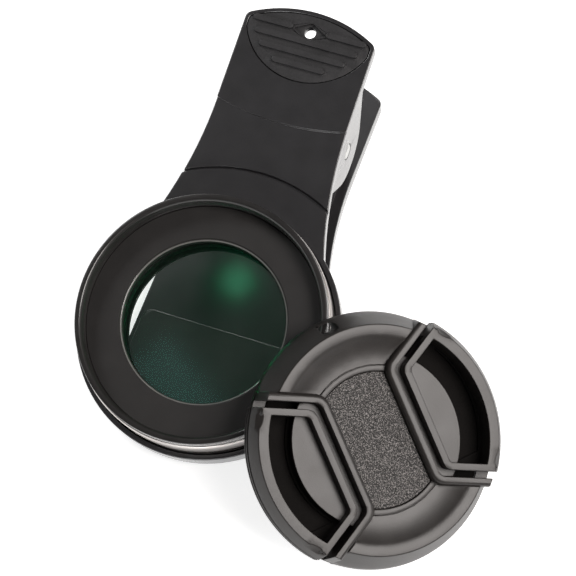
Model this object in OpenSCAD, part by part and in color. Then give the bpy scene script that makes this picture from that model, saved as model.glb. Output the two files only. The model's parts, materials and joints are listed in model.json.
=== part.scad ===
// Clip-on lens for a phone camera, with its pinch cap taken off and leaning on the lens.
// The rear arm lies flat on z = 0. X runs across the clip, Y towards the handles.
// The origin is on the table under the centre of the clip's ring.

/* [Lens] */
// Outer diameter of the knurled front ring
rim_d = 39; // [38.4:0.1:40]
// Bore of the filter thread in the front ring
thread_bore_d = 36.6; // [35:0.1:37]
// Clear opening inside the flat retaining ring
aperture_d = 25.3; // [22:0.1:26.5]
// Outer diameter of the smooth barrel below the front ring
barrel_d = 39.5; // [38.6:0.1:40.4]
// Height of the front ring's knurled band
knurl_h = 2.4; // [1.8:0.1:3.5]
// Height of the smooth barrel
barrel_h = 3.4; // [2.8:0.1:5]
// Depth of the retaining ring below the front edge
well_depth = 2.9; // [2:0.1:3.1]
// Height of the shadow gap between the barrel and the clip's ring
neck_h = 1; // [0.6:0.1:2]
// Thickness of the rear glass element
rear_glass_t = 2; // [1.4:0.1:2.2]

/* [Clip] */
// Outer diameter of the clip's ring
ring_d = 41.6; // [41.2:0.1:44]
// Thickness of the clip's ring
ring_t = 3.6; // [3.2:0.1:4.6]
// Width of both arms at the handle
arm_w = 21.7; // [19:0.1:24]
// Thickness of the front arm's plate
arm_t = 2.2; // [1.8:0.1:3]
// Distance from the lens axis to the end of the front handle
reach = 53.6; // [50:0.2:60]
// Distance from the lens axis to the hinge pin, along the front arm
pin_reach = 34.6; // [33:0.2:36]
// Depth of the hinge pin's axis below the front arm's top face
pin_drop = 6.2; // [5.8:0.1:7]
// Diameter of the hinge pin
pin_d = 2.6; // [2:0.1:3.2]
// Thickness of each hinge cheek
cheek_t = 1.4; // [1.1:0.1:1.8]
// Radius of the front cheeks round the pin
cheek_r = 6; // [5:0.1:6.4]
// Angle between the arms with the jaws shut
jaw_angle = 13.5; // [11:0.5:15]
// Thickness of the rear arm
rear_t = 2.6; // [2.2:0.1:3.4]
// Half width of the rear jaw under the lens
jaw_half_w = 13.4; // [12:0.1:14.5]
// Distance of the rear jaw's tip from the lens axis
jaw_tip = 13.4; // [12.5:0.1:15]
// Thickness of the rubber pad on the rear jaw
jaw_pad_t = 0.7; // [0.6:0.1:1.4]
// How far the gasket stands out below the ring
gasket_out = 0.4; // [0.3:0.1:0.9]
// Wire diameter of the torsion spring
spring_wire = 1.2; // [0.9:0.1:1.4]
// Diameter of the lanyard hole
lanyard_d = 1.9; // [1.4:0.1:2.2]

/* [Finger grip] */
// Radius of the grip pad's curved edge
grip_r = 11; // [10:0.1:11.4]
// Depth of the grip pad in the handle
grip_t = 1; // [0.8:0.1:1.3]
// Height of the raised bars
bar_h = 0.5; // [0.3:0.05:0.8]
// Width of each bar
bar_w = 1; // [0.7:0.05:1.3]
// Spacing of the bars
bar_pitch = 2; // [1.6:0.05:2.1]
// Number of bars
bar_count = 4; // [2:1:4]

/* [Cap] */
// Outer diameter of the cap
cap_d = 38.8; // [37.8:0.1:40]
// Height of the cap's flat rim face
cap_h = 5.2; // [5:0.1:6]
// Distance of each fence from the cap's centre
fence_x = 5; // [4.6:0.1:5.6]
// Width of the fence round each lever
fence_w = 1.3; // [1:0.1:1.6]
// Free gap between fence and lever
pinch_gap = 1.25; // [1.1:0.05:1.6]
// Diameter of the textured centre disc
disc_d = 20.4; // [18:0.2:21]
// Angle between the cap and the table
cap_lean = 29.9; // [27:0.1:36]
// Compass direction in which the cap's face looks
cap_heading = -28; // [-40:1:-20]
// Sideways offset of the cap from the line of lean
cap_offset = 5.6; // [4:0.1:8]
// Turn of the cap about its own axis
cap_spin = 75; // [0:1:180]

/* [Hidden] */
$fn = 96;
eps = 0.01;
fit_gap = 0.1;
soft_gap = 0.3;

// Clip sizes worked out from the ones above
half_w = arm_w / 2;
flare_r = 70;
flare_start = 36;
end_r = 21.5;
corner_r = 1.3;
pad_margin = 0.8;
pad_back = 3.4;
lanyard_y = reach - 3.4;
grip_edge = 0.7;
grip_centre = 0.9;
first_bar = 9.3;
bar_reach = grip_r - 1.7;
bar_break = 3.2;
ear_front = 9.5;
ear_back = 9;
jaw_corner_r = 4;
jaw_shut = (jaw_tip - pad_margin) * sin(jaw_angle) + ring_t + gasket_out + soft_gap;
ring_z = rear_t + jaw_pad_t + jaw_shut / cos(jaw_angle);
pin_y = pin_reach * cos(jaw_angle) + pin_drop * sin(jaw_angle);
pin_z = ring_z + pin_reach * sin(jaw_angle) - pin_drop * cos(jaw_angle);
rear_reach = reach + 0.7;
cheek_in = half_w - cheek_t;
rear_cheek_out = cheek_in - 0.25;
rear_cheek_in = rear_cheek_out - cheek_t;
rear_cheek_r = pin_drop - arm_t - 0.4;
rear_ear_front = 9;
rear_ear_back = 7;
groove_r = 26;
groove_w = 0.4;
groove_depth = 0.8;
waist_depth = 0.3;
crease_y = 34.5;
crease_r = 42;
flare_from = ring_d / 2 - 6.5;

coil_r = pin_drop - arm_t - spring_wire / 2 - 0.4;
coil_pitch = spring_wire + 0.15;
leg_low = [10.5, rear_t - pin_z + spring_wire / 2 + 0.05];
leg_up_y = 10.4;
leg_up_z = pin_drop - arm_t - spring_wire / 2 - 0.05;
leg_high = [
    leg_up_y * cos(jaw_angle) - leg_up_z * sin(jaw_angle),
    leg_up_y * sin(jaw_angle) + leg_up_z * cos(jaw_angle)
];

// Lens sizes worked out from the ones above
rim_r = rim_d / 2;
bore_r = thread_bore_d / 2;
barrel_r = barrel_d / 2;
seat_depth = 1.6;
seat_r = barrel_r + 0.15;
neck_r = rim_r - 0.5;
knurl_teeth = 120;
knurl_depth = 0.14;
spigot_r = 15;
gasket_in_r = spigot_r + 0.7;
gasket_out_r = gasket_in_r + 2.6;
base_bore_r = 14;
lip_r = 13;
lip_t = 0.8;
barrel_top = neck_h + barrel_h;
rim_top = barrel_top + knurl_h;
well_z = rim_top - well_depth;
retainer_t = 1;
ledge_t = 0.6;
skirt_r = bore_r + 0.6;
ledge_bore_r = 15.2;
glass_r = 14.6;
glass_rise = 0.9;
glass_sag = glass_rise * 1.33;
glass_dome_r = (pow(glass_r, 2) + pow(glass_sag, 2)) / (2 * glass_sag);
rear_hollow_r = 60;

// Cap sizes worked out from the ones above
cap_r = cap_d / 2;
cap_rim_out = cap_r - 2.1;
cap_rim_in = cap_rim_out - 1.4;
disc_r = disc_d / 2;
disc_top = cap_h - 1.2;
fence_top = cap_h + 0.2;
fence_leg = 27;
fence_half = 9.6;
bend_r = 2.4;
fence_round = 0.6;
leg_clear = 0.5;
dish_steps = 7;
strip_w = 1.1;
back_recess = 0.4;
plate_t = 0.4;
web_t = 0.4;
web_z = back_recess + plate_t + 0.1;
floor_z = web_z + web_t + 0.1;
bay_floor_z = floor_z + 1.3;
bay_floor_t = 0.6;
floor_r = cap_r - 6.1;
slot_half = 8.5;
scoop_r = 4.5;
scoop_turn = 34;
band_in = cap_r - 2.1;
cap_spring_r = 0.85;
cap_spring_wire = 0.3;
cap_spring_y = 6.6;
cap_spring_half = 3.2;
cap_spring_z = web_z + 1.05;

// Places that follow the front arm, whose plate is tilted by the jaw angle about the pin
module on_front() {
    translate([0, 0, ring_z]) rotate([jaw_angle, 0, 0]) children();
}

// The cap stands with its lower edge on the table and its back on the front ring's edge
cap_ny = sin(cap_lean) * sin(cap_heading);
cap_nz = cos(cap_lean);
cap_centre_z = cap_r * sin(cap_lean) + 0.05;
rim_cy = -rim_top * sin(jaw_angle);
rim_cz = ring_z + rim_top * cos(jaw_angle);
cap_face_turn = -cap_ny * sin(jaw_angle) + cap_nz * cos(jaw_angle);
cap_touch = cap_ny * rim_cy + cap_nz * rim_cz + rim_r * sqrt(1 - pow(cap_face_turn, 2))
    + 0.12 - back_recess;
cap_along = (cap_touch - cap_nz * cap_centre_z) / sin(cap_lean);
cap_cx = cap_along * cos(cap_heading) - cap_offset * sin(cap_heading);
cap_cy = cap_along * sin(cap_heading) + cap_offset * cos(cap_heading);

module on_cap() {
    translate([cap_cx, cap_cy, cap_centre_z])
        rotate([0, 0, cap_heading]) rotate([0, cap_lean, 0]) rotate([0, 0, cap_spin]) children();
}

// A plain ring between two radii and two heights
module band(r_out, r_in, z0, z1) {
    difference() {
        translate([0, 0, z0]) cylinder(r = r_out, h = z1 - z0);
        translate([0, 0, z0 - 1]) cylinder(r = r_in, h = z1 - z0 + 2);
    }
}

// The handle's plan: straight sides, a bowed end and two rounded corners
module handle_2d(end_y, inset = 0) {
    w = half_w - inset;
    r = corner_r - inset / 2;
    bow = end_r - inset;
    bow_y = end_y - end_r;
    corner_y = bow_y + sqrt(pow(bow - r, 2) - pow(w - r, 2));
    k = bow / (bow - r);
    translate([-w, flare_start - eps]) square([2 * w, corner_y - flare_start + eps]);
    for (s = [-1, 1]) translate([s * (w - r), corner_y]) circle(r);
    intersection() {
        translate([0, bow_y]) circle(bow);
        polygon([
            [0, bow_y], [k * (w - r), bow_y + k * (corner_y - bow_y)],
            [0, end_y + 3], [-k * (w - r), bow_y + k * (corner_y - bow_y)]
        ]);
    }
}

// The widening towards the jaw: a strip whose sides are hollowed by two large circles
module flare_2d(y0) {
    difference() {
        translate([-half_w - 4, y0]) square([arm_w + 8, flare_start - y0]);
        for (s = [-1, 1]) translate([s * (half_w + flare_r), flare_start]) circle(flare_r, $fn = 240);
    }
}

// Where a line from point p touches a circle of radius r at c, on side s
function touch(c, r, p, s) =
    let (d = norm(p - c), a = atan2(p[1] - c[1], p[0] - c[0]) + s * acos(r / d))
    [c[0] + r * cos(a), c[1] + r * sin(a)];

// A hinge ear: a round end on the pin with straight flanks to its root
module ear_2d(c, r, root_a, root_b, side) {
    translate(c) circle(r);
    polygon([root_a, touch(c, r, root_a, side), c, touch(c, r, root_b, -side), root_b]);
}

// Stands a profile drawn in Y and Z upright, from x0 to x1
module across(x0, x1) {
    translate([x0, 0, 0]) rotate([90, 0, 90]) linear_extrude(x1 - x0) children();
}

// A round wire swept along a path that never runs along X
function unit(v) = v / norm(v);
function heading(p, i) = unit(p[min(i + 1, len(p) - 1)] - p[max(i - 1, 0)]);
module wire(path, r, sides) {
    n = len(path);
    rings = [
        for (i = [0 : n - 1])
            let (t = heading(path, i), a = unit(cross([1, 0, 0], t)), b = cross(t, a))
            for (k = [0 : sides - 1])
                path[i] + r * (cos(360 * k / sides) * a + sin(360 * k / sides) * b)
    ];
    walls = [
        for (i = [0 : n - 2]) for (k = [0 : sides - 1])
            let (q = (k + 1) % sides)
            [i * sides + k, (i + 1) * sides + k, (i + 1) * sides + q, i * sides + q]
    ];
    lids = [[for (k = [0 : sides - 1]) k], [for (k = [sides - 1 : -1 : 0]) (n - 1) * sides + k]];
    polyhedron(rings, concat(walls, lids), convexity = 8);
}

// Rear arm: flat plate with the jaw at one end, the handle at the other and two ears on the pin
module rear_arm() {
    color([0.2, 0.19, 0.2]) difference() {
        union() {
            linear_extrude(rear_t) {
                handle_2d(rear_reach);
                intersection() {
                    flare_2d(0);
                    translate([-jaw_half_w, 0]) square([2 * jaw_half_w, flare_start]);
                }
                jaw_2d(jaw_half_w, jaw_tip, 0, jaw_corner_r);
            }
            for (x = [rear_cheek_in, -rear_cheek_out])
                across(x, x + cheek_t)
                    ear_2d([pin_y, pin_z], rear_cheek_r, [pin_y + rear_ear_back, rear_t - eps],
                        [pin_y - rear_ear_front, rear_t - eps], 1);
        }
        translate([-half_w, pin_y, pin_z]) rotate([0, 90, 0]) cylinder(d = pin_d + 0.04, h = arm_w);
        grip_recess(rear_reach, 0, grip_t - 0.2);
    }
}

// The jaw's squarish end: round corners at the tip, straight sides up to y1
module jaw_2d(w, tip, y1, r) {
    translate([-w, r - tip]) square([2 * w, y1 + tip - r]);
    translate([r - w, -tip]) square([2 * (w - r), r]);
    for (s = [-1, 1]) translate([s * (w - r), r - tip]) circle(r);
}

// Rubber pad on the rear jaw
module rear_jaw_pad() {
    w = jaw_half_w - pad_margin;
    r = 1.5;
    color([0.1, 0.1, 0.1]) translate([0, 0, rear_t]) linear_extrude(jaw_pad_t) {
        jaw_2d(w, jaw_tip - pad_margin, pad_back - r, jaw_corner_r - pad_margin);
        translate([r - w, 0]) square([2 * (w - r), pad_back]);
        for (s = [-1, 1]) translate([s * (w - r), pad_back - r]) circle(r);
    }
}

// The D shape of the finger grip, with its round side towards the lens
module grip_2d(end_y, inset) {
    intersection() {
        handle_2d(end_y, grip_edge + inset);
        translate([0, end_y - grip_centre]) circle(grip_r - inset);
    }
}
module grip_recess(end_y, z0, depth) {
    translate([0, 0, z0 - eps]) linear_extrude(depth + eps) grip_2d(end_y, 0);
}

// One raised bar: a strip with round ends
module bar_2d(x0, x1, y) {
    translate([x0, y - bar_w / 2]) square([x1 - x0, bar_w]);
    for (x = [x0, x1]) translate([x, y]) circle(bar_w / 2, $fn = 32);
}

// The bars span the D shape, and the last one is broken for the lanyard hole
module bars_2d(end_y) {
    for (i = [0 : bar_count - 1]) {
        drop = first_bar - bar_pitch * i;
        half = sqrt(pow(bar_reach, 2) - pow(drop - grip_centre, 2));
        if (drop > 4) bar_2d(-half, half, end_y - drop);
        else for (s = [-1, 1])
            bar_2d(min(s * bar_break, s * half), max(s * bar_break, s * half), end_y - drop);
    }
}

// Grip pad in the outer face of the rear handle, with bars flush with the face it rests on
module rear_grip_pad() {
    color([0.25, 0.24, 0.25]) {
        translate([0, 0, bar_h]) linear_extrude(grip_t - 0.2 - bar_h) grip_2d(rear_reach, 0.1);
        linear_extrude(bar_h + eps) bars_2d(rear_reach);
    }
}

// Hinge pin with a small bevel at both ends
module hinge_pin() {
    r = pin_d / 2;
    color([0.5, 0.5, 0.5]) translate([0, pin_y, pin_z]) rotate([0, 90, 0])
        rotate_extrude() polygon([
            [0, -half_w], [r - 0.2, -half_w], [r, -half_w + 0.2],
            [r, half_w - 0.2], [r - 0.2, half_w], [0, half_w]
        ]);
}

// Torsion spring: its coil is round the pin and its legs push the handles apart
module torsion_spring() {
    a0 = atan2(leg_low[1], leg_low[0]) - acos(coil_r / norm(leg_low));
    a1 = atan2(leg_high[1], leg_high[0]) + acos(coil_r / norm(leg_high));
    sweep = a0 - a1 + 360 * 5;
    steps = 66;
    half = coil_pitch * sweep / 720;
    coil = [
        for (i = [0 : steps])
            let (a = a0 - sweep * i / steps, x = -half + 2 * half * i / steps)
            [x, coil_r * cos(a), coil_r * sin(a)]
    ];
    path = concat([[-half, leg_low[0], leg_low[1]]], coil, [[half, leg_high[0], leg_high[1]]]);
    color([0.6, 0.6, 0.6]) translate([0, pin_y, pin_z]) wire(path, spring_wire / 2, 8);
}

// Front arm: ring, handle plate and the two outer ears in one moulding
module front_arm() {
    color([0.2, 0.19, 0.2]) on_front() difference() {
        union() {
            translate([0, 0, -ring_t]) cylinder(r = ring_d / 2, h = ring_t);
            translate([0, 0, -arm_t]) linear_extrude(arm_t) {
                handle_2d(reach);
                flare_2d(flare_from);
            }
            for (x = [cheek_in, -half_w])
                across(x, x + cheek_t)
                    ear_2d([pin_reach, -pin_drop], cheek_r, [pin_reach - ear_front, eps - arm_t],
                        [pin_reach + ear_back, eps - arm_t], 1);
        }
        translate([0, 0, -seat_depth]) cylinder(r = seat_r, h = seat_depth + 1);
        translate([0, 0, -ring_t - 1]) cylinder(r = spigot_r + fit_gap, h = ring_t + 1);
        band(gasket_out_r, gasket_in_r, -ring_t - 1, -ring_t + 0.4);
        translate([-half_w - 1, pin_reach, -pin_drop]) rotate([0, 90, 0])
            cylinder(d = pin_d + 0.12, h = arm_w + 2);
        translate([0, lanyard_y, -arm_t - 1]) cylinder(d = lanyard_d, h = arm_t + 2, $fn = 48);
        band(groove_r, groove_r - groove_w, -groove_depth, 1);
        waist_cut();
        translate([0, 0, -grip_t]) linear_extrude(grip_t + 1) grip_2d(reach, 0);
    }
}

// The waist between the ring's border groove and the handle's crease is a little lower
module waist_cut() {
    translate([0, 0, -waist_depth]) linear_extrude(1) difference() {
        translate([-half_w - 4, groove_r - 8]) square([arm_w + 8, crease_y - groove_r + 12]);
        circle(groove_r);
        translate([0, crease_y + crease_r]) circle(crease_r, $fn = 240);
    }
}

// Grip pad let into the front handle, with raised bars and a diamond round the lanyard hole
module front_grip_pad() {
    color([0.27, 0.26, 0.27]) on_front() difference() {
        union() {
            translate([0, 0, -grip_t]) linear_extrude(grip_t) grip_2d(reach, 0.1);
            linear_extrude(bar_h) bars_2d(reach);
        }
        translate([0, lanyard_y, -grip_t - 1]) cylinder(d = lanyard_d, h = grip_t + 2, $fn = 48);
        translate([0, lanyard_y, -0.5]) linear_extrude(2)
            polygon([[-2.6, 0], [0, -1.5], [2.6, 0], [0, 1.5]]);
    }
}

// Rubber gasket in a groove under the ring
module jaw_gasket() {
    color([0.1, 0.1, 0.1]) on_front()
        band(gasket_out_r - 0.05, gasket_in_r + 0.05, -ring_t - gasket_out, -ring_t + 0.4);
}

// Rear barrel: flange in the ring's seat, threaded spigot below and a neck above
module lens_base() {
    lip_z = -ring_t + 0.1;
    color([0.12, 0.12, 0.12]) on_front() rotate_extrude() polygon([
        [lip_r, lip_z], [spigot_r, lip_z], [spigot_r, -seat_depth], [seat_r - fit_gap, -seat_depth],
        [seat_r - fit_gap, -0.1], [neck_r, -0.1], [neck_r, neck_h], [base_bore_r, neck_h],
        [base_bore_r, lip_z + lip_t], [lip_r, lip_z + lip_t]
    ]);
}

// Smooth middle barrel with the floor that centres the front glass
module lens_barrel() {
    floor_top = well_z - retainer_t - ledge_t;
    color([0.45, 0.44, 0.44]) on_front() rotate_extrude() polygon([
        [glass_r + 0.1, neck_h], [barrel_r - 0.2, neck_h], [barrel_r, neck_h + 0.2],
        [barrel_r, barrel_top - 0.2], [barrel_r - 0.2, barrel_top], [skirt_r + 0.05, barrel_top],
        [skirt_r + 0.05, floor_top], [glass_r + 0.1, floor_top]
    ]);
}

// Front ring: knurled outside, with the filter thread's bore and a ledge for the retaining ring
module front_ring() {
    ledge_z = well_z - retainer_t - ledge_t;
    color([0.16, 0.16, 0.16]) on_front() difference() {
        union() {
            translate([0, 0, barrel_top + 0.25]) linear_extrude(knurl_h - 1) polygon([
                for (i = [0 : 2 * knurl_teeth - 1])
                    let (r = rim_r - (i % 2) * knurl_depth, a = 180 * i / knurl_teeth)
                    [r * cos(a), r * sin(a)]
            ]);
            rotate_extrude() polygon([
                [0, ledge_z], [skirt_r, ledge_z], [skirt_r, barrel_top], [rim_r - 0.25, barrel_top],
                [rim_r - 0.25, rim_top - 0.65], [rim_r, rim_top - 0.5], [rim_r, rim_top - 0.15],
                [rim_r - 0.15, rim_top], [0, rim_top]
            ]);
        }
        translate([0, 0, well_z - retainer_t]) cylinder(r = bore_r, h = well_depth + retainer_t + 1);
        translate([0, 0, ledge_z - 1]) cylinder(r = ledge_bore_r, h = ledge_t + 2);
    }
}

// Flat black ring that holds the front glass, with a thin bevel round its opening
module retaining_ring() {
    r = aperture_d / 2;
    z0 = well_z - retainer_t;
    color([0.21, 0.2, 0.2]) on_front() rotate_extrude() polygon([
        [r, z0 + 0.02], [bore_r - 0.06, z0 + 0.02], [bore_r - 0.06, well_z], [r + 0.45, well_z],
        [r, well_z - 0.45]
    ]);
}

// Front glass: a shallow dome on a round rod
module front_element() {
    top = well_z - retainer_t + glass_rise;
    color([0.1, 0.3, 0.2, 0.6]) on_front() intersection() {
        translate([0, 0, neck_h + 0.02]) cylinder(r = glass_r, h = top - neck_h);
        translate([0, 0, top - glass_dome_r]) sphere(glass_dome_r, $fn = 240);
    }
}

// Spacer between the two glasses
module spacer_ring() {
    color([0.12, 0.12, 0.12]) on_front()
        band(base_bore_r - 0.05, lip_r, -ring_t + 0.1 + lip_t + rear_glass_t + 0.02, neck_h);
}

// Rear glass: flat below, hollow above
module rear_element() {
    z0 = -ring_t + 0.1 + lip_t;
    sag = rear_hollow_r - sqrt(pow(rear_hollow_r, 2) - pow(lip_r - 0.5, 2));
    color([0.1, 0.3, 0.2, 0.6]) on_front() difference() {
        translate([0, 0, z0]) cylinder(r = base_bore_r - 0.05, h = rear_glass_t);
        translate([0, 0, z0 + rear_glass_t - sag + rear_hollow_r]) sphere(rear_hollow_r, $fn = 240);
    }
}

// Plan of one lever's bay: a flat side towards the cap's centre, two rounded bends and two legs
// that open outwards. The inset moves all three walls inwards, and narrow moves the legs alone.
function arc(c, r, a0, a1, n) = [
    for (i = [0 : n]) let (a = a0 + (a1 - a0) * i / n) c + r * [cos(a), sin(a)]
];
module bay_2d(inset, narrow = 0) {
    r = max(bend_r - inset * 0.6, 0.7);
    x0 = fence_x + inset;
    leg_y = fence_half - narrow - inset / cos(fence_leg) + inset * tan(fence_leg);
    c = [x0 + r, leg_y + r * tan(fence_leg) - r / cos(fence_leg)];
    far = 20;
    out_y = leg_y + far * tan(fence_leg);
    upper = arc(c, r, 180, 90 + fence_leg, 6);
    polygon(concat(
        [[x0 + far, -out_y]],
        [for (i = [len(upper) - 1 : -1 : 0]) [upper[i][0], -upper[i][1]]],
        upper,
        [[x0 + far, out_y]]
    ));
}

// Both bays, turned by half a turn
module both() {
    for (a = [0, 180]) rotate([0, 0, a]) children();
}

// A bay's outline raised to the fence's height, with a rounded upper edge
module fence_block() {
    hull() for (a = [0, 35, 65, 90])
        linear_extrude(fence_top - floor_z - fence_round * (1 - sin(a)))
            bay_2d(fence_round * (1 - cos(a)));
}

// Cap body: bevelled rim, dished face, fences round the bays, bay floors and a cord slot
module cap_body() {
    ring_in = disc_r + 0.1;
    ring_out = disc_r + 1;
    dish_in = ring_out + 0.15;
    color([0.36, 0.34, 0.33]) on_cap() difference() {
        union() {
            difference() {
                rotate_extrude() polygon(concat(
                    [
                        [0, floor_z], [cap_rim_out + 0.1, floor_z], [cap_rim_out + 0.1, 0], [cap_r, 0],
                        [cap_r, 0.8], [cap_r - 0.25, 1.5], [cap_rim_out, cap_h - 0.1],
                        [cap_rim_out - 0.1, cap_h], [cap_rim_in, cap_h]
                    ],
                    [
                        for (i = [1 : dish_steps])
                            let (u = 1 - i / dish_steps)
                            [
                                dish_in + (cap_rim_in - dish_in) * u,
                                disc_top - 0.1 + (cap_h - disc_top + 0.1) * pow(u, 1.8)
                            ]
                    ],
                    [
                        [ring_out, disc_top - 0.1], [ring_out, disc_top + 0.1], [ring_in, disc_top + 0.1],
                        [ring_in, disc_top - 0.5], [0, disc_top - 0.5]
                    ]
                ));
                both() translate([0, 0, web_z]) linear_extrude(cap_h) bay_2d(0);
            }
            both() intersection() {
                translate([0, 0, floor_z]) difference() {
                    fence_block();
                    translate([0, 0, -1]) linear_extrude(fence_top) bay_2d(fence_w);
                }
                cylinder(r1 = cap_r + 0.3, r2 = cap_r - 0.8, h = fence_top + 0.1);
            }
            both() translate([0, 0, bay_floor_z]) linear_extrude(bay_floor_t) intersection() {
                bay_2d(0);
                circle(floor_r);
            }
        }
        for (s = [-1, 1])
            translate([-cap_spring_half - 1.3, s * cap_spring_y - 1.4, 0])
                cube([2 * cap_spring_half + 2.6, 2.8, cap_spring_z + 1.1]);
        translate([0, cap_r - 1.2, -1]) {
            linear_extrude(cap_h + 2) {
                translate([-0.7, -0.7]) square([1.4, 1.4]);
                for (s = [-1, 1]) translate([s * 0.7, 0]) circle(0.7, $fn = 32);
            }
        }
    }
}

// Textured disc let into the cap's face between the two fences
module cap_centre_disc() {
    color([0.28, 0.27, 0.27]) on_cap() translate([0, 0, disc_top - 0.5]) linear_extrude(0.5)
        intersection() {
            circle(disc_r);
            square([2 * fence_x - 0.1, 2 * disc_r], center = true);
        }
}

// Thin plate that closes the cap's back and holds the levers in
module cap_back_plate() {
    color([0.18, 0.18, 0.18]) on_cap() translate([0, 0, back_recess])
        cylinder(r = cap_rim_out + 0.05, h = plate_t);
}

// Section of a lever's outer band: two thread ridges below and a bevel above
module lever_band() {
    z0 = web_z;
    rotate_extrude() polygon([
        [band_in, z0], [cap_r + 0.2, z0], [cap_r + 0.6, z0 + 0.3], [cap_r + 0.6, z0 + 0.6],
        [cap_r + 0.2, z0 + 0.9], [cap_r + 0.6, z0 + 1.2], [cap_r + 0.6, z0 + 1.5],
        [cap_r + 0.2, z0 + 1.8], [cap_r + 0.5, z0 + 2.1], [cap_r + 0.5, z0 + 2.3],
        [cap_r - 0.1, cap_h - 0.8], [cap_r - 0.5, cap_h], [band_in, cap_h]
    ]);
}

// Window in a lever's web, between the bay's floor and the outer band
module slot_2d() {
    intersection() {
        difference() {
            circle(band_in - 0.3);
            circle(floor_r + 0.4);
        }
        translate([0, -slot_half]) square([cap_r, 2 * slot_half]);
    }
}

// One pinch lever: outer band with thread ridges, frame strip and a sliding web with two tabs.
// The web has a window under the finger slot, and each end of the band has a shallow scoop.
module cap_lever(turn) {
    z0 = web_z;
    strip_z = bay_floor_z + bay_floor_t + 0.1;
    color([0.36, 0.34, 0.33]) on_cap() rotate([0, 0, turn]) union() {
        difference() {
            intersection() {
                translate([pinch_gap, 0, 0]) linear_extrude(cap_h + 2) bay_2d(fence_w, leg_clear);
                lever_band();
            }
            for (s = [-1, 1]) rotate([0, 0, s * scoop_turn])
                translate([cap_r + 2.4, 0, cap_h + 3]) sphere(scoop_r, $fn = 64);
        }
        translate([pinch_gap, 0, 0]) intersection() {
            translate([0, 0, strip_z]) linear_extrude(cap_h - strip_z) difference() {
                bay_2d(fence_w, leg_clear);
                bay_2d(fence_w + strip_w, leg_clear);
            }
            translate([-pinch_gap, 0, 0]) cylinder(r = cap_r - 0.6, h = cap_h);
        }
        translate([0, 0, z0]) linear_extrude(web_t) difference() {
            intersection() {
                translate([pinch_gap, 0]) bay_2d(fence_w, leg_clear);
                circle(band_in + 0.2);
            }
            slot_2d();
        }
        for (s = [-1, 1]) {
            translate([cap_spring_half, s * cap_spring_y - 1, z0]) cube([6, 2, web_t]);
            translate([cap_spring_half, s * cap_spring_y - 1, z0]) cube([0.8, 2, 2]);
        }
    }
}
module cap_lever_left() {
    cap_lever(180);
}
module cap_lever_right() {
    cap_lever(0);
}

// One small compression spring between the two levers' tabs
module cap_spring(side) {
    turns = 7;
    steps = turns * 9;
    half = cap_spring_half - cap_spring_wire / 2 - 0.02;
    path = [
        for (i = [0 : steps])
            let (a = 360 * turns * i / steps)
            [
                -half + 2 * half * i / steps,
                side * cap_spring_y + cap_spring_r * cos(a),
                cap_spring_z + cap_spring_r * sin(a)
            ]
    ];
    color([0.7, 0.7, 0.7]) on_cap() wire(path, cap_spring_wire / 2, 6);
}
module cap_spring_upper() {
    cap_spring(1);
}
module cap_spring_lower() {
    cap_spring(-1);
}

rear_arm();
rear_jaw_pad();
rear_grip_pad();
hinge_pin();
torsion_spring();
front_arm();
front_grip_pad();
jaw_gasket();
lens_base();
lens_barrel();
front_ring();
retaining_ring();
front_element();
spacer_ring();
rear_element();
cap_body();
cap_centre_disc();
cap_back_plate();
cap_lever_left();
cap_lever_right();
cap_spring_upper();
cap_spring_lower();
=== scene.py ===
"""Clip-on phone lens with its pinch cap: the visible pieces and the studio, laid out as an add-on."""

import json
import math

import bpy
from bpy.props import FloatProperty, FloatVectorProperty, IntProperty, PointerProperty
from mathutils import Matrix, Vector


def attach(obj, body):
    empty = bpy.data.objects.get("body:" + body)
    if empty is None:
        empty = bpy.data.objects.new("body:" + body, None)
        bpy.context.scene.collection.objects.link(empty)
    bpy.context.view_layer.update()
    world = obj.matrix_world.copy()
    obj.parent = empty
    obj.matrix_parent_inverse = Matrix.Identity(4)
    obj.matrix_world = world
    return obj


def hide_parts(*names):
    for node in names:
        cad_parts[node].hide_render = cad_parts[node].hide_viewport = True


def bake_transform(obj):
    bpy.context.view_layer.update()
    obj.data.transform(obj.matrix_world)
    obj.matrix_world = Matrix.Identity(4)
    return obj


bl_info = {
    "name": "Clip-on Phone Lens",
    "version": (1, 0, 0),
    "blender": (4, 5, 0),
    "location": "View3D > Sidebar > Clip Lens",
    "description": "Models the visible pieces of a clip-on phone lens, its cap and a small studio",
    "category": "Object",
}

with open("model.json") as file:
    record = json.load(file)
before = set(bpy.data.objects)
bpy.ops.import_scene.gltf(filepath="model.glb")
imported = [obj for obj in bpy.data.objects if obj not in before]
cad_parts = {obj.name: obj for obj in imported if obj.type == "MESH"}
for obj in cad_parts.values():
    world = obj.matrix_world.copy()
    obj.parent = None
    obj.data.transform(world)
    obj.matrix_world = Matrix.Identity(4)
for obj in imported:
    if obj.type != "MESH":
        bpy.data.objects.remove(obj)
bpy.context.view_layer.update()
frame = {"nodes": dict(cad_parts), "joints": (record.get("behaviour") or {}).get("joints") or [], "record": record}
NODES = frame["nodes"]
MOUNTS = {mount["name"]: mount for mount in frame["record"]["mounts"]}
JOINTS = {joint["name"]: joint for joint in frame["joints"]}

MM = 0.001
WHITE = (1.0, 1.0, 1.0, 1.0)
GLASS_TINT = (0.975, 0.985, 0.978, 1.0)
GLASS_IOR = 1.45
MERGE_GAP = 0.002 * MM
GLASS_MERGE_GAP = 0.004 * MM

# Sizes of the patterns in the finishes.
BLOTCH_SIZE = 3.2 * MM
CLOUD_SIZE = 2.4 * MM
TURNING_GRAIN = 0.12 * MM
DISC_GRAIN = 0.22 * MM
DISC_FINE_GRAIN = 0.12 * MM
STREAK_SIZE = 0.5 * MM
HAZE_SIZE = 6 * MM

# Groups of pieces that a lamp lights, or leaves out.
FRONT_LIT = "lit_from_front"
REAR_LIT = "lit_from_behind"
GLASS_LIT = "lit_by_glass_lamps"
KEY_UNLIT = "unlit_by_key"


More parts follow.
